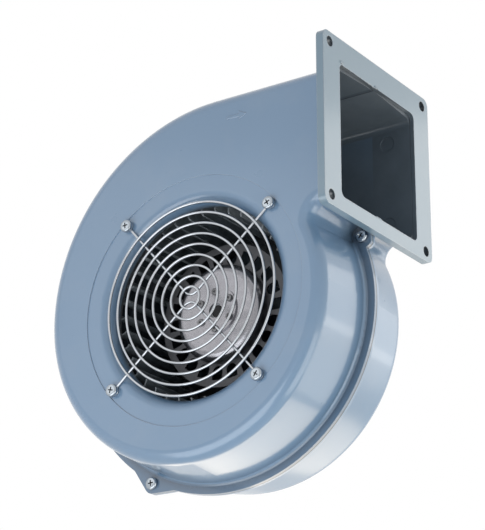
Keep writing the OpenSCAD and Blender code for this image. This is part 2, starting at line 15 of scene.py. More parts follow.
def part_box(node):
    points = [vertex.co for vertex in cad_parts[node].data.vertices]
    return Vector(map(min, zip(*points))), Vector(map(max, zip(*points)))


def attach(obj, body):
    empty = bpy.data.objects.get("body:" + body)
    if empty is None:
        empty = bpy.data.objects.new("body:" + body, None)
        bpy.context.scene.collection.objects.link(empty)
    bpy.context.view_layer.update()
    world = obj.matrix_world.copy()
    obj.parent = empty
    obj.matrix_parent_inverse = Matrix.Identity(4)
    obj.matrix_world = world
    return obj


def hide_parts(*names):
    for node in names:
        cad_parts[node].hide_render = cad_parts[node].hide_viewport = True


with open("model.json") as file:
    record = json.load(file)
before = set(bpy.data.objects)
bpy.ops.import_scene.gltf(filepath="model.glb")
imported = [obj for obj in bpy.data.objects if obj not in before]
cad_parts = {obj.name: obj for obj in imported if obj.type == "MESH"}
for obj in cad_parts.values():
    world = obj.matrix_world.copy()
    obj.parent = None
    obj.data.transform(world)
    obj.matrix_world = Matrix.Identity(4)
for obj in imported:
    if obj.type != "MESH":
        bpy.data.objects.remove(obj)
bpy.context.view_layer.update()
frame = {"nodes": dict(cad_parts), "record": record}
solid = frame["nodes"]

# %% [markdown]
# ## The places everything else is measured from
# The frame's origin is the middle of the outlet flange's face, and X points out of the outlet.
# The fan turns about a line along Y, so its two other coordinates are worth a name. They are
# read from the shaft's own box, and then every later place follows the model when it changes.
# A few places inside the duct and the inlet are on no box, so they are written here once.

# %% Find the fan axis and the housing's main planes
shaft_low, shaft_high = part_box("motor_shaft")
axis = (shaft_low + shaft_high) / 2
front_low, front_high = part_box("front_shell")
can_low, can_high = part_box("rotor_can")

face_y = front_low.y           # the housing's front, towards the inlet
spigot_x = front_high.x        # the duct's end, inside the flange
hub_r = (can_high.x - can_low.x) / 2

inlet_r = 0.0702               # just outside the bell mouth's rim
duct_start_x = -0.0305         # from here on walls are told by the duct's middle line,
duct_full_x = -0.0300          # and from here on by nothing else
duct_low_z = -0.0497           # just under the duct's lower wall
duct_mid_z = -0.0036           # half way up the duct
opening_top_z = 0.0395         # the upper edge of the flange's opening
opening_low_z = -0.0467        # and its lower edge
print("fan axis at x", round(axis.x, 4), "z", round(axis.z, 4), "front at y", round(face_y, 4))

# %% [markdown]
# ## The camera
# The blower is seen from the right of its inlet and from below, which is how it looks when it
# hangs by its outlet flange. A long lens keeps the perspective gentle. The camera's own axes
# are written as directions, because a turned matrix is easier to check than three angles.

# %% Set up the camera
look_right = Vector((0.82937, 0.55870, 0.00062)).normalized()
look_up = Vector((0.19833, -0.29545, 0.93455)).normalized()
look_back = look_right.cross(look_up)
eye = Vector((0.60544, -1.04672, -0.53543))

lens = bpy.data.cameras.new("studio_camera")
lens.lens = 147.02
lens.sensor_width = 36.0
lens.clip_start = 0.05
lens.clip_end = 20.0
camera = bpy.data.objects.new("studio_camera", lens)
turn = Matrix((look_right, look_up, look_back)).transposed().to_4x4()
camera.matrix_world = Matrix.Translation(eye) @ turn
bpy.context.scene.collection.objects.link(camera)
bpy.context.scene.camera = camera
print("camera at", tuple(round(v, 3) for v in eye), "lens", round(lens.lens, 2), "mm")

# %% [markdown]
# ## A small language for finishes
# A finish is a node tree, and a tree written node by node is hard to read. A Signal wraps one
# output socket, so that sums and products of sockets are written as plain expressions.

# %% Write the class for shader maths
class Signal:
    """One output socket. Arithmetic on it adds Math nodes."""

    def __init__(self, shading, socket):
        self.shading = shading
        self.socket = socket

    def math(self, operation, *values, clamp=False):
        return self.shading.add("ShaderNodeMath", dict(enumerate(values)),
                                operation=operation, use_clamp=clamp)

    def __add__(self, other):
        return self.math("ADD", self, other)

    def __sub__(self, other):
        return self.math("SUBTRACT", self, other)

    def __rsub__(self, other):
        return self.math("SUBTRACT", other, self)

    def __mul__(self, other):
        return self.math("MULTIPLY", self, other)

    __radd__ = __add__
    __rmul__ = __mul__

    def power(self, exponent):
        return self.math("POWER", self, exponent)

    def larger(self, other):
        return self.math("MAXIMUM", self, other)

    def absolute(self):
        return self.math("ABSOLUTE", self)

    def clamped(self):
        return self.math("ADD", self, 0.0, clamp=True)

print("shader maths ready")

# %% [markdown]
# A Shading owns a node tree and has one method that adds any node with its inputs and settings.
# A Finish is the Shading of one material, and sets its Principled shader.

# %% Write the classes that own a tree
class Shading:
    """A node tree that is built from expressions."""

    def __init__(self, tree):
        self.tree = tree

    def plug(self, socket, value):
        if isinstance(value, Signal):
            self.tree.links.new(value.socket, socket)
        else:
            socket.default_value = value

    def add(self, kind, inputs=None, out=0, **settings):
        node = self.tree.nodes.new(kind)
        for key, value in settings.items():
            setattr(node, key, value)
        for key, value in (inputs or {}).items():
            self.plug(node.inputs[key], value)
        return Signal(self, node.outputs[out])


class Finish(Shading):
    """A material with a Principled shader."""

    def __init__(self, name):
        self.material = bpy.data.materials.new(name)
        self.material.use_nodes = True
        super().__init__(self.material.node_tree)
        self.shader = self.tree.nodes["Principled BSDF"]

    def set(self, **values):
        for key, value in values.items():
            self.plug(self.shader.inputs[key.replace("_", " ")], value)

print("finish classes ready")

# %% [markdown]
# ## Helpers that most finishes share
# Every pattern reads Object coordinates. The pieces' objects all sit at the origin, so these
# are places on the real object, in metres, and a noise scale of 100 means features of 10 mm.

# %% Write the shared pattern helpers
# The Mix node has one set of sockets for each kind of value. These are the colour ones.
MIX_FACTOR, MIX_A, MIX_B, MIX_RESULT = 0, 6, 7, 2

def shade(colour, factor=1.0):
    return (colour[0] * factor, colour[1] * factor, colour[2] * factor, 1.0)

def mixed(f, amount, a, b):
    return f.add("ShaderNodeMix", {MIX_FACTOR: amount, MIX_A: a, MIX_B: b},
                 out=MIX_RESULT, data_type="RGBA")

def place(f):
    return f.add("ShaderNodeTexCoord", out="Object")

def parts(f, where):
    node = f.add("ShaderNodeSeparateXYZ", {"Vector": where}).socket.node
    return [Signal(f, o) for o in node.outputs]

def vector(f, operation, *values, out="Vector"):
    return f.add("ShaderNodeVectorMath", dict(enumerate(values)), out=out, operation=operation)

def noise(f, scale, detail=3.0, where=None):
    return f.add("ShaderNodeTexNoise", {
        "Vector": where or place(f), "Scale": scale, "Detail": detail, "Roughness": 0.55})

def bands(f, scale, distortion, detail=2.0):
    """Stripes across Y, as the edges of stacked or wound things."""
    return f.add("ShaderNodeTexWave", {
        "Vector": place(f), "Scale": scale, "Distortion": distortion, "Detail": detail},
        wave_type="BANDS", bands_direction="Y")

def above(f, signal, low, high):
    """0 up to low, 1 from high on, and a straight ramp between them."""
    level = f.add("ShaderNodeValToRGB", {"Fac": signal})
    black, white = level.socket.node.color_ramp.elements
    black.position, white.position = low, high
    return level

def step(f, value, start, end):
    """0 at start and 1 at end, with a soft passage. It falls where end is below start."""
    return f.add("ShaderNodeMapRange", {
        "Value": value, "From Min": start, "From Max": end, "To Min": 0.0, "To Max": 1.0},
        interpolation_type="SMOOTHSTEP")

def bumped(f, height, distance, strength=1.0, below=None):
    inputs = {"Height": height, "Distance": distance, "Strength": strength}
    if below is not None:
        inputs["Normal"] = below
    return f.add("ShaderNodeBump", inputs)

print("helpers ready")

# %% [markdown]
# ## Edges, hollows and insides
# Three things make a coated casting believable. Its edges are rounded and made lighter, which is
# rubbed wear and also a painted highlight, and its corners, hollows and inside get painted shade.
# The Bevel node gives the normal that a rounded edge would have, and how far it departs from the
# flat normal tells where an edge is. The Ambient Occlusion node tells how shut in a place is.

# %% Write the masks for edges and hollows
def rounded(f, radius):
    return f.add("ShaderNodeBevel", {"Radius": radius}, samples=6)

def flat_normal(f):
    return f.add("ShaderNodeNewGeometry", out="Normal")

def edge_mask(f, soft, patchy):
    away = 1.0 - vector(f, "DOT_PRODUCT", soft, flat_normal(f), out="Value")
    return above(f, away * (0.5 + patchy), 0.02, 0.16)

def hollow(f, reach):
    """How much is shut off by the same piece within reach: 0 in the open, 1 in a deep gap."""
    return 1.0 - f.add("ShaderNodeAmbientOcclusion", {"Distance": reach}, out="AO",
                       samples=8, only_local=True)

def off_axis(f):
    """The distance from the fan axis."""
    x, y, z = parts(f, place(f))
    dx, dz = x - axis.x, z - axis.z
    return (dx * dx + dz * dz).power(0.5)

print("edge and hollow masks ready")

# %% [markdown]
# The inside gets painted shade, and it is told by the flat normal: there it points back towards
# the middle, which is the fan axis in the scroll and the duct's own middle line in the duct. The
# front, its sunken ring and the start of the bell mouth get no painted shade, although they face
# inwards.

# %% Write the mask for the inside
front_unshaded = 0.0030      # how deep behind the front the painted shade starts
mouth_unshaded = 0.0120      # how deep the bell mouth stays free of painted shade, fading over its last half
facing_in = (-0.12, -0.40)  # from where on a wall counts as an inner one, by its cosine
sharp = 0.0004             # the width of a painted edge

def inner_shade_mask(f, only_duct):
    """1 on inner walls, which get painted shade. With only_duct, the middle is always the duct's.
    """
    at = place(f)
    x, y, z = parts(f, at)
    in_duct = 1.0 if only_duct else (step(f, x, duct_start_x, duct_full_x)
                                     * step(f, z, duct_low_z, duct_low_z + sharp))
    middle = f.add("ShaderNodeCombineXYZ", {
        "X": axis.x + (x - axis.x) * in_duct, "Y": 0.0,
        "Z": axis.z + (duct_mid_z - axis.z) * in_duct})
    outward = vector(f, "NORMALIZE", vector(f, "SUBTRACT", at, middle))
    facing = vector(f, "DOT_PRODUCT", outward, flat_normal(f), out="Value")
    mouth = (step(f, off_axis(f), inlet_r + sharp, inlet_r)
             * step(f, y, face_y + mouth_unshaded, face_y + mouth_unshaded / 2))
    behind_front = step(f, y, face_y + front_unshaded, face_y + front_unshaded + sharp)
    inner = step(f, facing, *facing_in) * behind_front * (1.0 - mouth)
    if only_duct:
        return inner
    # the duct's end inside the flange gets the same painted shade
    spigot_end = step(f, x, spigot_x - 0.0003, spigot_x - 0.0001)
    return inner.larger(spigot_end)

print("inside mask ready")

# %% [markdown]
# ## The housing's coat
# The cast halves carry a thin blue-grey coat with a silky gloss. A real coat isn't flat: its
# tone drifts a little over the casting, it has specks, dust and a fine orange-peel skin, and
# its edges are lighter, by rubbed wear and by a painted highlight. Its hollows and the front
# half's rim get painted shade. The joint between the halves is nearly black, and the walls of
# the bolt holes are made nearly black with painted shade.

# %% Write the dark places of the coat
hollow_shade_reach = 0.016                  # hollows narrower than this get painted shade
hollow_shade_start = (0.010, 0.014)         # how far behind the front the painted shade in hollows starts
rim_front = (-0.0034, -0.0025)      # the planes along Y between which the front half's rim gets painted shade, each with its fading
rim_back = (0.0009, 0.0002)         # rim is dirty, each with its fading
line_edge = (0.00018, 0.00055)      # the joint line's half width, dark and faded

def hollow_and_rim_shade_mask(f, y, inner, jointed):
    """Painted shade in the outer hollows, well behind the front, and on the front half's rim."""
    shaded = step(f, hollow(f, hollow_shade_reach), 0.20, 0.55) * (1.0 - inner)
    shaded = shaded * step(f, y, *(face_y + depth for depth in hollow_shade_start))
    if jointed:
        shaded = shaded + step(f, y, *rim_front) * step(f, y, *rim_back) * 0.55
    return shaded.clamped()

def joint_line(f, y):
    """The hairline between the two halves, which meet at y = 0."""
    return 1.0 - step(f, y.absolute(), *line_edge)

def hole_wall_shade(f, holes):
    """Painted shade on the walls of bolt holes along X, each given by its y, its z and its
    radius.
    """
    dark = 0.0
    for hole_y, hole_z, radius in holes:
        off = vector(f, "SUBTRACT", place(f), (0.0, hole_y, hole_z))
        across = vector(f, "LENGTH", vector(f, "MULTIPLY", off, (0.0, 1.0, 1.0)), out="Value")
        dark = dark + (1.0 - step(f, across, radius, radius + 0.0003))
    return dark.clamped()

print("dark places ready")

# %% [markdown]
# The tones are laid over one another in this order: coat, specks and dust, painted shade
# inside, lighter edges from rubbed wear and a painted highlight, painted shade in hollows and on
# the rim, and last the dark joint or the painted shade in the bolt holes. The skin's normal
# starts from the rounded edges.

# %% Mix the housing coat
dust_tone = shade((0.50, 0.52, 0.53))
# lighter edges: rubbed wear and a painted highlight
rubbed_and_highlight_tone = shade((0.62, 0.67, 0.71))
# painted shade for the inside
inner_shade_dark, inner_shade_light = shade((0.095, 0.118, 0.142)), shade((0.170, 0.205, 0.235))
# the dark joint, and painted shade on the bolt holes' walls
joint_and_hole_shade_tone = shade((0.020, 0.025, 0.032))

def coat(name, colour, gloss, edge_r, holes=()):
    """With holes it is the flange's coat, and without them the jointed housing's."""
    f = Finish(name)
    jointed = not holes
    y = parts(f, place(f))[1]
    blotch = noise(f, 60.0, 4.0)
    specks = above(f, noise(f, 900.0, 1.0), 0.70, 0.78)
    dust = above(f, noise(f, 26.0, 5.0), 0.50, 0.85)
    inner = inner_shade_mask(f, only_duct=not jointed)
    soft = rounded(f, edge_r)
    worn_and_highlit = edge_mask(f, soft, blotch) * (1.0 - inner)
    joint_and_hole_shade = joint_line(f, y) if jointed else hole_wall_shade(f, holes)

    tone = mixed(f, noise(f, 9.0, 2.0), shade(colour, 0.95), shade(colour, 1.05))
    tone = mixed(f, specks * 0.2, tone, shade(colour, 0.8))
    tone = mixed(f, dust * 0.12, tone, dust_tone)
    # painted shade inside
    tone = mixed(f, inner, tone, mixed(f, blotch, inner_shade_dark, inner_shade_light))
    # lighter edges: rubbed wear and a painted highlight
    tone = mixed(f, worn_and_highlit * 0.38, tone, rubbed_and_highlight_tone)
    # painted shade in the hollows and on the front half's rim
    tone = mixed(f, hollow_and_rim_shade_mask(f, y, inner, jointed) * 0.80, tone, shade(colour, 0.16))
    # the dark joint, or painted shade on the bolt holes' walls
    tone = mixed(f, joint_and_hole_shade * 0.85, tone, joint_and_hole_shade_tone)

    skin = bumped(f, noise(f, 45.0, 2.0), 0.0002, 0.2, soft)
    skin = bumped(f, noise(f, 1500.0, 2.0), 0.00003, 0.30, skin)
    if jointed:
        skin = bumped(f, 1.0 - joint_and_hole_shade, 0.0003, 0.6, skin)
    f.set(Base_Color=tone, Metallic=worn_and_highlit * 0.2, Normal=skin,
          Roughness=gloss + 0.12 * blotch + 0.1 * specks + 0.25 * inner)
    f.set(IOR=1.5, Coat_Weight=1.0, Coat_Roughness=0.12, Coat_IOR=1.55)
    return f.material

# The mount's own x runs along the frame's Y, and its y along Z.
bolt = frame["record"]["mounts"][0]["dims"]
half_y, half_z = bolt["spacing_x_mm"] / 2000.0, bolt["spacing_y_mm"] / 2000.0
bolt_holes = [(side * half_y, end * half_z, bolt["hole_r_mm"] / 1000.0)
              for side in (-1, 1) for end in (-1, 1)]
housing_coat = coat("housing coat", (0.212, 0.335, 0.490), 0.24, 0.0006)
# a darker, greyer copy of the housing's paint: painted shade on the flange
shaded_flange_coat = coat("shaded flange coat", (0.215, 0.315, 0.390), 0.30, 0.0009, bolt_holes)
print("housing coats mixed, flange holes at", bolt_holes)

# %% [markdown]
# ## Plated metals
# The guard is plated wire: nearly a mirror, with a slight ripple from drawing and tiny dull
# pits. Screws and clips are plated too. All are metallic, so their colour is the colour of
# their reflections, and their recesses get painted shade, because a small deep hole reflects
# little. The hub's screws get a much darker copy of the plating, which is painted shade.

# %% Mix the plated metals
recess_shade_reach = 0.003        # recesses narrower than this get painted shade

def plated(name, colour, rough, ripple=0.00002):
    f = Finish(name)
    cloud = noise(f, 140.0)
    pits = above(f, noise(f, 2600.0, 2.0), 0.62, 0.74)
    tone = mixed(f, cloud * 0.35, shade(colour), shade((0.66, 0.66, 0.66)))
    tone = mixed(f, pits * 0.4, tone, shade(colour, 0.5))
    recess = step(f, hollow(f, recess_shade_reach), 0.15, 0.55)
    # painted shade in the recesses
    tone = mixed(f, recess * 0.85, tone, shade(colour, 0.12))
    f.set(Base_Color=tone, Metallic=1.0, Roughness=rough + 0.12 * cloud + 0.2 * pits,
          Normal=bumped(f, noise(f, 420.0, 2.0), ripple, 0.5))
    return f.material

guard_plating = plated("guard plating", (0.46, 0.49, 0.53), 0.08)
screw_plating = plated("screw plating", (0.33, 0.38, 0.43), 0.05, ripple=0.00006)
# a much darker copy of the plating: painted shade on the hub's screws
shaded_hub_plating = plated("shaded hub screw plating", (0.13, 0.13, 0.14), 0.22)
clip_plating = plated("clip plating", (0.80, 0.81, 0.82), 0.12)
print("plated metals mixed")

# %% [markdown]
# ## Galvanised sheet
# The impeller is pressed from galvanised sheet. Zinc freezes on it in spangles, flat crystals
# of a few millimetres that each catch the light differently, so a cell pattern changes both
# the tone and the roughness. Blades and front ring get a painted highlight along their edges.
# The blades are dulled by the air they move. The back plate's drawn hub, over the motor, is
# polished, and the rest of the back plate is a much darker copy of the sheet, painted shade.

# %% Mix the galvanised sheet
edge_highlight_tone = shade((0.75, 0.76, 0.78))
edge_highlight_r = 0.0004          # the rounding by which edges are found for the painted highlight
hub_edge = 0.0015           # how far the polish reaches past the motor's can

def spangled(name, colour, rough=0.30, metallic=0.9, painted_edge_highlight=False, hub_colour=None):
    f = Finish(name)
    cells = f.add("ShaderNodeTexVoronoi", {"Vector": place(f), "Scale": 260.0}, out="Color")
    grain = f.add("ShaderNodeSeparateColor", {"Color": cells})
    dust = noise(f, 70.0, 4.0)
    tone = mixed(f, grain, shade(colour, 0.82), shade(colour, 1.12))
    polish = rough + 0.14 * grain + 0.12 * dust
    stained = above(f, dust, 0.55, 0.80) * 0.5
    if painted_edge_highlight:
        # a painted highlight along the edges
        edge_highlight = edge_mask(f, rounded(f, edge_highlight_r), dust)
        tone = mixed(f, edge_highlight * 0.9, tone, edge_highlight_tone)
    if hub_colour:
        on_hub = step(f, off_axis(f), hub_r + hub_edge, hub_r)
        tone = mixed(f, on_hub, tone,
                     mixed(f, grain, shade(hub_colour, 0.985), shade(hub_colour, 1.015)))
        polish = polish - (polish - 0.23) * on_hub
        stained = stained * (1.0 - 0.84 * on_hub)
        skin = bumped(f, noise(f, 30.0, 1.0), 0.00002, 0.08)
    else:
        skin = bumped(f, noise(f, 700.0), 0.00002, 0.5)
    tone = mixed(f, stained, tone, shade(colour, 0.45))
    f.set(Base_Color=tone, Metallic=metallic, Roughness=polish, Normal=skin)
    return f.material

blade_sheet = spangled("blade sheet", (0.26, 0.29, 0.31), metallic=0.3, painted_edge_highlight=True)
ring_sheet = spangled("ring sheet", (0.30, 0.30, 0.315), painted_edge_highlight=True)
# the back plate's dark colour is painted shade; its hub keeps the lighter polished tone
shaded_plate_sheet = spangled("shaded back plate sheet", (0.110, 0.112, 0.120), rough=0.34,
                       hub_colour=(0.370, 0.366, 0.390))
print("galvanised sheet mixed")

# %% [markdown]
# ## Turned, stacked and cast metal of the motor
# These pieces are mostly out of sight, but they show when the pieces are taken apart. Turned
# steel has rings round its axis, a core has the edges of its stacked sheets, and a bare casting
# is grainy. The shaft's front end stands deep in the hub's hole and gets painted shade.

# %% Mix the motor's metals
def turned(name, colour, rough, rings_scale=396.8254, shaded_end=None):
    f = Finish(name)
    centred = vector(f, "SUBTRACT", place(f), (axis.x, 0.0, axis.z))
    rings = f.add("ShaderNodeTexWave", {
        "Vector": centred, "Scale": rings_scale, "Distortion": 0.6},
        wave_type="RINGS", rings_direction="Y")
    cloud = noise(f, 120.0)
    tone = mixed(f, cloud, shade(colour, 0.88), shade(colour, 1.08))
    if shaded_end is not None:
        y = parts(f, place(f))[1]
        # painted shade on the shaft's front end
        tone = mixed(f, step(f, y, shaded_end + 0.003, shaded_end + 0.002), tone, shade(colour, 0.05))
    f.set(Base_Color=tone, Metallic=1.0, Roughness=rough + 0.1 * rings + 0.08 * cloud,
          Normal=bumped(f, rings, 0.00001, 0.6))
    return f.material

def stacked(name, colour):
    f = Finish(name)
    sheets = bands(f, 320.0, 0.2)
    rust = above(f, noise(f, 220.0, 4.0), 0.60, 0.85)
    tone = mixed(f, sheets, shade(colour, 0.7), shade(colour, 1.1))
    tone = mixed(f, rust * 0.5, tone, shade((0.16, 0.09, 0.05)))
    f.set(Base_Color=tone, Metallic=0.8, Roughness=0.38 + 0.2 * sheets,
          Normal=bumped(f, sheets, 0.00008, 0.6))
    return f.material

def bare_casting(name, colour):
    f = Finish(name)
    drawn_out = vector(f, "MULTIPLY", place(f), (1.0, 0.4, 1.0))
    flow = noise(f, 40.0, where=drawn_out)
    tone = mixed(f, flow, shade(colour, 0.85), shade(colour, 1.08))
    f.set(Base_Color=tone, Metallic=0.85, Roughness=0.36 + 0.16 * flow,
          Normal=bumped(f, noise(f, 1100.0), 0.00004, 0.6))
    return f.material

shaft_steel = turned("shaft steel", (0.62, 0.63, 0.65), 0.18, shaded_end=shaft_low.y)
bearing_steel = turned("bearing steel", (0.66, 0.68, 0.70), 0.10)
can_steel = turned("can steel", (0.42, 0.44, 0.46), 0.26, rings_scale=190.4762)
core_steel = stacked("core steel", (0.30, 0.31, 0.33))
motor_cast = bare_casting("motor casting", (0.34, 0.355, 0.375))
print("motor metals mixed")

# %% [markdown]
# ## The few parts that aren't bare metal
# Copper wire lies in turns, a board has a weave under its lacquer, magnets are sintered and
# nearly black, moulded insulation is chalky, spring steel is blackened, and rubber is dull with
# a dusty bloom.

# %% Mix the remaining finishes
def wound(name, colour):
    f = Finish(name)
    turns = bands(f, 260.0, 1.2, 1.0)
    tone = mixed(f, turns, shade(colour, 0.55), shade(colour, 1.1))
    f.set(Base_Color=tone, Metallic=0.85, Roughness=0.22 + 0.12 * noise(f, 160.0),
          Normal=bumped(f, turns, 0.0002, 0.8))
    return f.material

def moulded(name, colour, rough, grain=900.0, height=0.00004):
    f = Finish(name)
    cloud = noise(f, 90.0, 4.0)
    tone = mixed(f, cloud, shade(colour, 0.82), shade(colour, 1.12))
    f.set(Base_Color=tone, Roughness=rough + 0.15 * cloud,
          Normal=bumped(f, noise(f, grain), height, 0.6))
    return f.material

copper = wound("copper wire", (0.62, 0.28, 0.11))
board = moulded("board lacquer", (0.04, 0.17, 0.08), 0.28, 1600.0)
insulation = moulded("moulded insulation", (0.66, 0.62, 0.52), 0.5)
rubber = moulded("rubber", (0.020, 0.020, 0.022), 0.6, 1300.0, 0.00008)
magnet = moulded("sintered magnet", (0.045, 0.046, 0.050), 0.42, 1800.0)
spring_black = moulded("black spring steel", (0.035, 0.035, 0.04), 0.35, 1400.0)
print("other finishes mixed")

# %% [markdown]
# ## Dressing the solids
# Each solid keeps its shape and only gets its finish. The housing's two halves share one coat,
# and the flange, a separate casting, gets a darker and greyer copy of it, which is painted shade.

# %% Give every solid its finish
finishes = {
    "front_shell": housing_coat, "rear_shell": housing_coat, "outlet_flange": shaded_flange_coat,
    "inlet_guard": guard_plating, "guard_screws": screw_plating,
    "housing_screws": screw_plating, "housing_nuts": screw_plating,
    "motor_screws": screw_plating, "hub_screws": shaded_hub_plating, "balance_clips": clip_plating,
    "motor_flange": motor_cast, "bearing_outer_rings": bearing_steel,
    "bearing_balls": bearing_steel, "bearing_inner_rings": bearing_steel,
    "stator_core": core_steel, "winding_insulators": insulation, "stator_windings": copper,
    "circuit_board": board, "cable_grommet": rubber, "motor_shaft": shaft_steel,
    "shaft_circlip": spring_black, "rotor_can": can_steel, "magnet_ring": magnet,
    "impeller_back_plate": shaded_plate_sheet, "impeller_front_ring": ring_sheet,
    "impeller_blades": blade_sheet,
}
for name, material in finishes.items():
    mesh = solid[name].data
    mesh.materials.clear()
    mesh.materials.append(material)
print("dressed", len(finishes), "of", len(solid), "solids")

# %% [markdown]
# ## Finding what repeats
# The screws of one kind are one solid node, and their places are needed one by one. All of
# them stand along Y, so the node's points fall into clusters when they are seen along Y. Each
# cluster's box says where a screw is, how wide its head is and how long it is.

# %% Find the single screws in a node
pieces_apart = 0.009    # screws and nuts stand further apart than this
hub_apart = 0.005       # the hub's screws are smaller and stand closer

def clusters(name, apart=pieces_apart):
    """The lowest and highest corners of a node's pieces, which stand further than apart."""
    found = []
    for v in solid[name].data.vertices:
        for first, low, high in found:
            if abs(v.co.x - first.x) < apart and abs(v.co.z - first.z) < apart:
                low[:] = [min(a, b) for a, b in zip(low, v.co)]
                high[:] = [max(a, b) for a, b in zip(high, v.co)]
                break
        else:
            found.append((v.co.copy(), v.co.copy(), v.co.copy()))
    return [(low, high) for first, low, high in found]

for name in ("guard_screws", "housing_screws", "housing_nuts", "motor_screws"):
    print(name, len(clusters(name)))
print("hub_screws", len(clusters("hub_screws", hub_apart)))

# %% [markdown]
# ## Small modelling helpers
# Operators act on what is selected, so every step starts from nothing selected. Faces and edges
# are then picked by where they are, which keeps a script readable and safe to run again.

# %% Write the selection helpers
def only(o):
    bpy.ops.object.select_all(action="DESELECT")
    o.select_set(True)
    bpy.context.view_layer.objects.active = o
    return o

def settle(o):
    """Puts the object's place, turn and scale into its mesh."""
    only(o)
    bpy.ops.object.transform_apply(location=True, rotation=True, scale=True)
    return o

def edit(o):
    only(o)
    bpy.ops.object.mode_set(mode="EDIT")

def pick(o, kind, test):
    """Selects, in edit mode, the faces or edges for which test says yes."""
    if o.mode != "EDIT":
        edit(o)
    bpy.ops.mesh.select_mode(type=kind)
    bpy.ops.mesh.select_all(action="DESELECT")
    bm = bmesh.from_edit_mesh(o.data)
    for item in bm.faces if kind == "FACE" else bm.edges:
        if test(item):
            item.select_set(True)
    bmesh.update_edit_mesh(o.data)

def leave(o, degrees=35.0):
    """Back to object mode, with normals outwards and soft shading up to an angle."""
    if o.mode != "EDIT":
        edit(o)
    bpy.ops.mesh.select_all(action="SELECT")
    bpy.ops.mesh.normals_make_consistent(inside=False)
    bpy.ops.object.mode_set(mode="OBJECT")
    only(o)
    bpy.ops.object.shade_smooth_by_angle(angle=math.radians(degrees))
    return o

print("selection helpers ready")

# %% [markdown]
# A piece that repeats is modelled once at the origin. Copies of it are then set in place and
# joined into one object, which is given its material and its body.

# %% Write the helpers for whole objects
def cut(o, tool, operation="DIFFERENCE"):
    m = o.modifiers.new("cut", "BOOLEAN")
    m.operation = operation
    m.solver = "EXACT"
    m.object = tool
    only(o)
    bpy.ops.object.modifier_apply(modifier="cut")
    bpy.data.objects.remove(tool)
    return o

def scattered(pattern, spots):
    """Copies of the pattern, one at each matrix of spots. The pattern itself goes."""
    twins = []
    for i, spot in enumerate(spots):
        twin = bpy.data.objects.new(f"{pattern.name}_{i + 1}", pattern.data.copy())
        bpy.context.scene.collection.objects.link(twin)
        twin.matrix_world = spot
        twins.append(twin)
    bpy.data.objects.remove(pattern)
    return twins

def standing(low, high, seat_y, tilt, degrees):
    """A matrix that stands a piece along Y in the middle of a box, tilted and then turned."""
    at = Vector(((low.x + high.x) / 2, seat_y, (low.z + high.z) / 2))
    return (Matrix.Translation(at) @ Matrix.Rotation(tilt, 4, "X")
            @ Matrix.Rotation(math.radians(degrees), 4, "Z"))

def joined(pieces, name):
    bpy.ops.object.select_all(action="DESELECT")
    for o in pieces:
        o.select_set(True)
    bpy.context.view_layer.objects.active = pieces[0]
    bpy.ops.object.join()
    pieces[0].name = name
    return settle(pieces[0])

def finished(o, body, slot, material, *nodes):
    """Gives the piece its material and body; slot is not used. It stands for the nodes that are
    named.
    """
    o.data.materials.clear()
    o.data.materials.append(material)
    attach(o, body)
    if nodes:
        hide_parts(*nodes)
    print(o.name, "has", len(o.data.polygons), "faces")
    return o

print("object helpers ready")

# %% [markdown]
# ## A pan-head screw with a cross recess
# A pan head is a short drum with a generous round at its upper edge. The shank grows from the
# underside: inset, extrude, and extrude once more for a narrower tip. The recess is two crossed
# slots that narrow downwards, so a tapered cutter, modelled as a cube whose bottom is scaled in,
# is taken out of the head twice.

# %% Model one pan-head screw
tip_l = 0.0006          # length of the shank's narrower tip
over = 0.0002           # how far a cutter stands out at either end of its cut

def recess_tools(arm, width, top, deep):
    tools = []
    for turn in (0.0, math.pi / 2):
        at = (0.0, 0.0, top - deep / 2 + over)
        bpy.ops.mesh.primitive_cube_add(size=1.0, location=at)
        o = bpy.context.object
        o.scale = (2 * arm, width, deep + 2 * over)
        o.rotation_euler = (0.0, 0.0, turn)
        settle(o)
        pick(o, "FACE", lambda face: face.normal.z < -0.9)
        bpy.ops.transform.resize(value=(0.45, 0.45, 1.0))
        bpy.ops.object.mode_set(mode="OBJECT")
        tools.append(o)
    return tools

def pan_screw(name, head_r, head_h, shank_r, shank_l, domed):
    """A screw that points down, with the underside of its head at z = 0."""
    top_z, low_z, small = head_h * 0.9, head_h * 0.05, head_h * 0.06
    bpy.ops.mesh.primitive_cylinder_add(
        vertices=40, radius=head_r, depth=head_h, location=(0.0, 0.0, head_h / 2))
    o = settle(bpy.context.object)
    o.name = name
    pick(o, "EDGE", lambda e: all(v.co.z > top_z for v in e.verts))
    bpy.ops.mesh.bevel(offset=head_h * domed, segments=5, profile=0.55, affect="EDGES")
    pick(o, "EDGE", lambda e: all(v.co.z < low_z for v in e.verts))
    bpy.ops.mesh.bevel(offset=small, segments=2, affect="EDGES")
    pick(o, "FACE", lambda face: face.normal.z < -0.95 and face.calc_center_median().z < low_z)
    bpy.ops.mesh.inset(thickness=head_r - small - shank_r, depth=0.0)
    for length in (shank_l - tip_l, tip_l):
        bpy.ops.mesh.extrude_region_move(TRANSFORM_OT_translate={"value": (0.0, 0.0, -length)})
    bpy.ops.transform.resize(value=(0.72, 0.72, 1.0))
    leave(o)
    for tool in recess_tools(head_r * 0.56, head_r * 0.24, head_h, head_h * 0.55):
        cut(o, tool)
    return leave(o)

print("pan-head screw ready")

# %% [markdown]
# Each kind of screw takes its head's width, its length and its places from the clusters of its
# node. No two screws stop at the same angle, so each one is turned a different way.

# %% Set the screws in place
to_inlet, to_back = -1, 1   # which way along Y a head faces
biting_r = 0.00199          # a shank that bites in a casting
nutted_r = 0.00200          # a shank that carries a nut
hub_shank_r = 0.00125

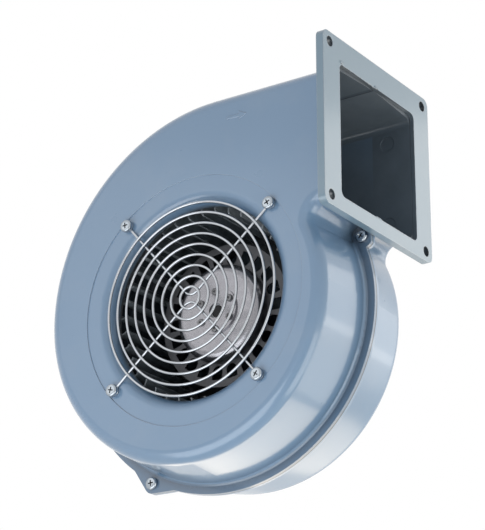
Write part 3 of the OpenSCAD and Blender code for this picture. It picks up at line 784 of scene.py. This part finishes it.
def set_screws(name, node, body, facing, shank_r, head_h=0.0026, domed=0.5,
               apart=pieces_apart, material=screw_plating):
    """Copies one screw to every screw of the node."""
    boxes = clusters(node, apart)
    low, high = boxes[0]
    head_r, shank_l = (high.x - low.x) / 2, high.y - low.y - head_h
    pattern = pan_screw(name + "_pattern", head_r, head_h, shank_r, shank_l, domed)
    spots = []
    for i, (low, high) in enumerate(boxes):
        seat_y = low.y + head_h if facing == to_inlet else high.y - head_h
        spots.append(standing(low, high, seat_y, -facing * math.pi / 2, 23.0 + 71.0 * i))
    screws = joined(scattered(pattern, spots), name)
    return finished(screws, body, "zinc_screws", material, node)

set_screws("guard_pan_screws", "guard_screws", "housing", to_inlet, biting_r)
set_screws("rim_pan_screws", "housing_screws", "housing", to_inlet, nutted_r)
set_screws("motor_pan_screws", "motor_screws", "housing", to_back, biting_r)
set_screws("hub_button_screws", "hub_screws", "rotor", to_inlet, hub_shank_r,
           head_h=0.0015, domed=0.6, apart=hub_apart, material=shaded_hub_plating)

# %% [markdown]
# ## Hex nuts
# A nut is a six-sided prism whose corners are turned off at a slant on both ends. A bevelled
# drum, kept only where it meets the prism, gives exactly those slanted corners, and a drill
# through the middle gives the bore, which is chamfered like a real thread's start.

# %% Model the nuts on the joint screws
def upright_drum(sides, radius, depth, middle_z):
    bpy.ops.mesh.primitive_cylinder_add(
        vertices=sides, radius=radius, depth=depth, location=(0.0, 0.0, middle_z))
    return settle(bpy.context.object)

bore_r = nutted_r + 0.00001
near = 1e-5             # what counts as the same place

def hex_nut(name, corner_r, height):
    o = upright_drum(6, corner_r, height, height / 2)
    o.name = name
    drum = upright_drum(48, corner_r * 1.01, height, height / 2)
    pick(drum, "EDGE", lambda e: abs(e.verts[0].co.z - e.verts[1].co.z) < near)
    bpy.ops.mesh.bevel(offset=corner_r * 0.14, segments=3, affect="EDGES")
    leave(drum)
    cut(o, drum, "INTERSECT")
    cut(o, upright_drum(32, bore_r, height * 2, height / 2))

    def on_bore_end(v):
        at_end = min(abs(v.co.z), abs(v.co.z - height)) < near
        return at_end and abs(v.co.xy.length - bore_r) < near

    pick(o, "EDGE", lambda e: all(on_bore_end(v) for v in e.verts))
    bpy.ops.mesh.bevel(offset=0.0003, segments=1, affect="EDGES")
    return leave(o, 30.0)

nut_boxes = clusters("housing_nuts")
low, high = nut_boxes[0]
nut = hex_nut("nut_pattern", (high.x - low.x) / 2, high.y - low.y)
spots = [standing(low, high, low.y, -math.pi / 2, 17.0 * i)
         for i, (low, high) in enumerate(nut_boxes)]
nuts = joined(scattered(nut, spots), "rim_hex_nuts")
finished(nuts, "housing", "zinc_screws", screw_plating, "housing_nuts")

# %% [markdown]
# ## Weld spots of the guard
# Where a ring crosses a stay the wires are resistance-welded, and a small flattened bead of
# metal is squeezed out between them. The rings' radii are read from the points that lie lowest
# along Y, where only the rings' front sides are, and the stays point at the guard's screws.

# %% Find the rings and the stays
wire = 0.0008           # the wire's radius
ring_apart_mm = 1.0     # two radii that differ by more belong to different rings

guard_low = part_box("inlet_guard")[0]
front_points = [v.co for v in solid["inlet_guard"].data.vertices
                if v.co.y < guard_low.y + 2 * near]
radii_mm = sorted({round(Vector((p.x - axis.x, p.z - axis.z)).length * 1000.0, 1)
                   for p in front_points})
rings = []
for r in radii_mm:
    if not rings or r - rings[-1][-1] > ring_apart_mm:
        rings.append([r])
    else:
        rings[-1].append(r)
ring_radii = [sum(group) / len(group) / 1000.0 for group in rings]
stay_angles = [math.atan2((low.z + high.z) / 2 - axis.z, (low.x + high.x) / 2 - axis.x)
               for low, high in clusters("guard_screws")]
print("rings", [round(r * 1000, 1) for r in ring_radii],
      "stays", [round(math.degrees(a), 1) for a in stay_angles])

# %% [markdown]
# A bead starts as a low ball, is stretched along the stay, roughened a little and smoothed
# again. Three different beads take turns along the rings, so that neighbours don't look alike.

# %% Add the weld spots
bead_kinds = 3

def weld_bead(name, seed):
    bpy.ops.mesh.primitive_ico_sphere_add(subdivisions=2, radius=wire)
    o = bpy.context.object
    o.name = name
    o.scale = (1.35, 0.75, 0.8)
    settle(o)
    edit(o)
    bpy.ops.mesh.select_all(action="SELECT")
    bpy.ops.transform.vertex_random(offset=0.00012, seed=seed)
    bpy.ops.mesh.vertices_smooth(factor=0.5, repeat=2)
    return leave(o, 60.0)

def crossing(r, angle):
    """Where the ring of radius r crosses the stay, with X turned along the stay."""
    at = Vector((axis.x + r * math.cos(angle), guard_low.y + 2 * wire,
                 axis.z + r * math.sin(angle)))
    return Matrix.Translation(at) @ Matrix.Rotation(-angle, 4, "Y")

beads = []
for kind in range(bead_kinds):
    spots = [crossing(r, angle)
             for i, r in enumerate(ring_radii) for j, angle in enumerate(stay_angles)
             if (i + j) % bead_kinds == kind]
    beads += scattered(weld_bead(f"bead_{kind}", kind), spots)
finished(joined(beads, "guard_weld_beads"), "housing", "guard_wire", guard_plating)

# %% [markdown]
# ## Staked edge of the outlet
# The flange is a casting of its own, and the ends of the duct are peened over into it. The
# punch leaves a ragged lip of metal along the upper edge of the opening, torn at both ends.
# A thin bar is cut into short lengths, its corners are pulled about, and a displacement of
# small noise makes the lip uneven.

# %% Model a ragged lip
def apply(o, kind, **settings):
    m = o.modifiers.new(kind.lower(), kind)
    for key, value in settings.items():
        setattr(m, key, value)
    only(o)
    bpy.ops.object.modifier_apply(modifier=m.name)

def ragged_lip(name, low, high, seed, cuts):
    """A bar between two corners, cut across and torn along its longest side."""
    low, high = Vector(low), Vector(high)
    size = high - low
    along = max(range(3), key=lambda k: size[k])
    bpy.ops.mesh.primitive_cube_add(size=1.0, location=(low + high) / 2)
    o = bpy.context.object
    o.name = name
    o.scale = size
    settle(o)
    pick(o, "EDGE", lambda e: abs(e.verts[0].co[along] - e.verts[1].co[along])
         > size[along] * 0.9)
    bpy.ops.mesh.subdivide(number_cuts=cuts)
    bpy.ops.mesh.select_all(action="SELECT")
    bpy.ops.transform.vertex_random(offset=min(size) * 0.45, seed=seed)
    bpy.ops.mesh.quads_convert_to_tris()
    bpy.ops.object.mode_set(mode="OBJECT")
    clouds = bpy.data.textures.new(name + "_clouds", "CLOUDS")
    clouds.noise_scale = 0.0016
    apply(o, "SUBSURF", levels=2, render_levels=2)
    apply(o, "DISPLACE", texture=clouds, strength=0.0007, mid_level=0.55)
    return leave(o, 50.0)

print("ragged lip ready")

# %% Stake the flange
top, bottom = opening_top_z, opening_low_z
lips = [
    ragged_lip("lip_top", (-0.0006, -0.0430, top - 0.0005), (0.0001, -0.0010, top + 0.0004),
               seed=3, cuts=34),
    ragged_lip("lip_end_left", (-0.0004, -0.0440, top + 0.0002),
               (0.0004, -0.0405, top + 0.0020), seed=5, cuts=5),
    ragged_lip("lip_end_right", (-0.0004, -0.0032, top - 0.0004),
               (0.0004, 0.0004, top + 0.0017), seed=8, cuts=5),
    ragged_lip("lip_bottom", (-0.0006, -0.0050, bottom - 0.0003),
               (0.0002, 0.0020, bottom + 0.0007), seed=11, cuts=9),
]
finished(joined(lips, "staked_lips"), "housing", "flange_cast", shaded_flange_coat)

# %% [markdown]
# ## Light
# The object hangs in a white room. The room is bright only where it is seen, directly, in a
# reflection or through glass. To everything else it gives a dim, bluish light.

# %% Build the room
def seen_rays(shading):
    """1 for rays that see: from the camera, off a mirror or through glass."""
    camera_ray = shading.add("ShaderNodeLightPath", out="Is Camera Ray")
    mirror_ray = shading.add("ShaderNodeLightPath", out="Is Glossy Ray")
    glass_ray = shading.add("ShaderNodeLightPath", out="Is Transmission Ray")
    return camera_ray.larger(mirror_ray).larger(glass_ray)

bpy.context.scene.view_settings.view_transform = "Standard"
world = bpy.data.worlds.new("studio room")
bpy.context.scene.world = world
world.use_nodes = True
world.node_tree.nodes.clear()
room = Shading(world.node_tree)
dim = room.add("ShaderNodeBackground", {"Color": (0.80, 0.90, 1.0, 1.0), "Strength": 0.42})
white = room.add("ShaderNodeBackground", {"Color": (1.0, 1.0, 1.0, 1.0), "Strength": 1.0})
choice = room.add("ShaderNodeMixShader", {0: seen_rays(room), 1: dim, 2: white})
sink = room.tree.nodes.new("ShaderNodeOutputWorld")
room.plug(sink.inputs["Surface"], choice)
print("room ready")

# %% [markdown]
# Six large lamps do the rest. Three stand behind, low on the left and at two heights on the
# right, where the scroll's wall and the rear half mirror them towards the camera. One on the
# right lights the flange, one from the front and below fills the inlet, and a weak one stands
# where the polished hub of the impeller mirrors it.

# %% Hang the lamps
def lamp(name, at, towards, size, watts, colour=(1.0, 1.0, 1.0)):
    light = bpy.data.lights.new(name, "AREA")
    light.shape = "RECTANGLE"
    light.size, light.size_y = size
    light.energy = watts
    light.color = colour
    o = bpy.data.objects.new(name, light)
    o.location = at
    o.rotation_euler = (Vector(towards) - Vector(at)).to_track_quat("-Z", "Y").to_euler()
    o.visible_camera = False
    bpy.context.scene.collection.objects.link(o)

scroll, inlet, hub = (-0.09, 0.0, -0.07), (-0.13, -0.05, -0.12), (-0.092, 0.0, -0.106)
lamp("back low", (-0.35, 1.0, -1.05), scroll, (1.9, 0.7), 9.0, (1.0, 0.86, 0.68))
lamp("back right low", (0.95, 1.0, -0.50), scroll, (1.0, 1.0), 4.0, (1.0, 0.93, 0.83))
lamp("back right high", (0.80, 1.0, 0.22), scroll, (0.8, 0.75), 2.3, (1.0, 0.97, 0.93))
lamp("right", (0.95, -0.10, -0.75), scroll, (0.9, 0.9), 4.5, (1.0, 0.98, 0.91))
lamp("front low", (-0.30, -0.75, -0.62), inlet, (0.9, 0.7), 3.9, (0.93, 0.97, 1.0))
lamp("hub", (-0.714, -0.94, 0.277), hub, (0.36, 0.36), 0.24)
print("lamps hung")

# %% [markdown]
# A pale floor far below throws some light back up. Where it is seen it glows almost as white as
# the room, so that no horizon shows.

# %% Lay the floor
bpy.ops.mesh.primitive_plane_add(size=30.0, location=(0.0, 0.0, -2.20))
floor = bpy.context.object
floor.name = "floor"
pale = Finish("pale floor")
pale.set(Base_Color=(0.80, 0.80, 0.79, 1.0), Roughness=0.8)
matt = Signal(pale, pale.shader.outputs[0])
glow = pale.add("ShaderNodeEmission", {"Color": (1.0, 1.0, 1.0, 1.0), "Strength": 1.0})
lit = pale.add("ShaderNodeMixShader", {0: seen_rays(pale) * 0.85, 1: matt, 2: glow})
pale.plug(pale.tree.nodes["Material Output"].inputs["Surface"], lit)
floor.data.materials.append(pale.material)
print("floor at", round(floor.location.z, 2), "m")
